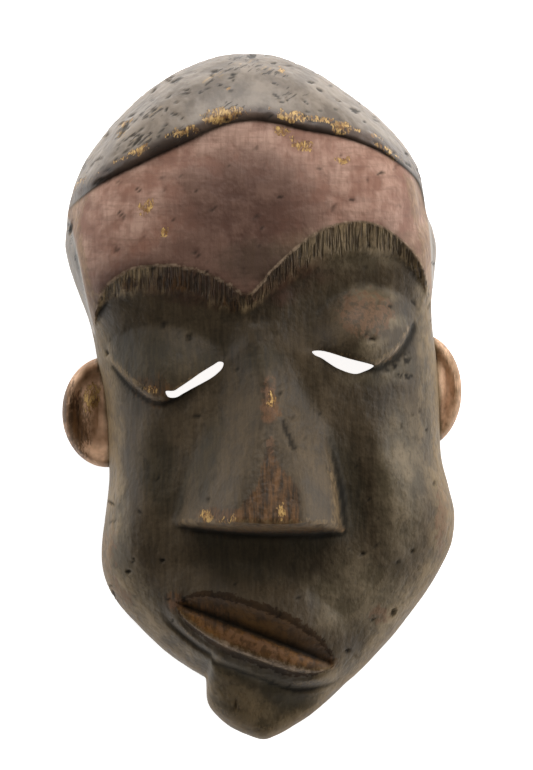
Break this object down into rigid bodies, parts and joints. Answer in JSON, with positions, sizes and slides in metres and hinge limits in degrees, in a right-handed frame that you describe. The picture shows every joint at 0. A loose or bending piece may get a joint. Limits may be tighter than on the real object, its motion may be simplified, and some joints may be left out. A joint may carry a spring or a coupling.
{
  "type": "carved wooden face mask",
  "caption": "Hollow-backed wooden face mask with a cap of hair, joined brow, hooded slit eyes, wedge nose, slanted lips and side ears.",
  "frame": {"origin": "middle of the mask's box, on the plane of the rim of its hollow back", "axes": "+Z out of the face, +Y towards the crown, +X to the right of a person who looks at the face"},
  "size_m": [0.1804, 0.309, 0.1143],
  "materials": {
    "patinated_wood": "dark patina with a low sheen, worn at the edges"
  },
  "bodies": {
    "root": {"mask": "patinated_wood"}
  },
  "joints": []
}
